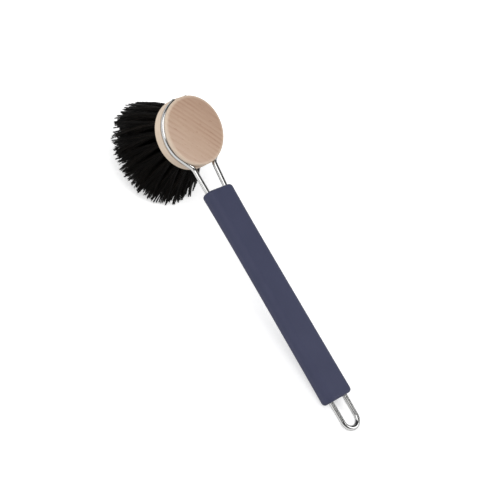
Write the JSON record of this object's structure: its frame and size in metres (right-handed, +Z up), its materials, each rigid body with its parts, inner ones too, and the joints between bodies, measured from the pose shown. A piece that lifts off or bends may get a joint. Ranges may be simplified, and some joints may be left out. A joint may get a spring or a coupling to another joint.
{
  "type": "dish brush",
  "caption": "Dish brush: a bent steel wire handle with a silicone grip clasps a turned beech head of black horsehair tufts, which turns in the clasp.",
  "frame": {"origin": "centre of the bounding box, at its bottom, where the brush rests on its lowest bristle tips and on the loop's end", "axes": "+X along the brush towards the head, +Y to the side, +Z up, with the bristles pointing down and away from the hand"},
  "size_m": [0.2747, 0.0786, 0.07],
  "materials": {
    "steel_wire": "polished",
    "silicone": "matte",
    "beech": "satin",
    "horsehair": "satin",
    "anchor_wire": "satin"
  },
  "bodies": {
    "handle": {"wire_frame": "steel_wire", "grip": "silicone"},
    "head": {"head_block": "beech", "tuft_anchors": "anchor_wire", "tuft_center": "horsehair", "tuft_inner_1": "horsehair", "tuft_inner_2": "horsehair", "tuft_inner_3": "horsehair", "tuft_inner_4": "horsehair", "tuft_inner_5": "horsehair", "tuft_inner_6": "horsehair", "tuft_middle_1": "horsehair", "tuft_middle_2": "horsehair", "tuft_middle_3": "horsehair", "tuft_middle_4": "horsehair", "tuft_middle_5": "horsehair", "tuft_middle_6": "horsehair", "tuft_middle_7": "horsehair", "tuft_middle_8": "horsehair", "tuft_middle_9": "horsehair", "tuft_middle_10": "horsehair", "tuft_middle_11": "horsehair", "tuft_middle_12": "horsehair", "tuft_outer_1": "horsehair", "tuft_outer_2": "horsehair", "tuft_outer_3": "horsehair", "tuft_outer_4": "horsehair", "tuft_outer_5": "horsehair", "tuft_outer_6": "horsehair", "tuft_outer_7": "horsehair", "tuft_outer_8": "horsehair", "tuft_outer_9": "horsehair", "tuft_outer_10": "horsehair", "tuft_outer_11": "horsehair", "tuft_outer_12": "horsehair", "tuft_outer_13": "horsehair", "tuft_outer_14": "horsehair", "tuft_outer_15": "horsehair", "tuft_outer_16": "horsehair", "tuft_outer_17": "horsehair", "tuft_outer_18": "horsehair"}
  },
  "joints": [
    {"name": "head_turn", "type": "hinge", "parent": "handle", "child": "head", "pos_m": [0.08644, -0.0003, 0.05504], "axis": [-0.4505, 0, 0.8928], "continuous": true}
  ]
}
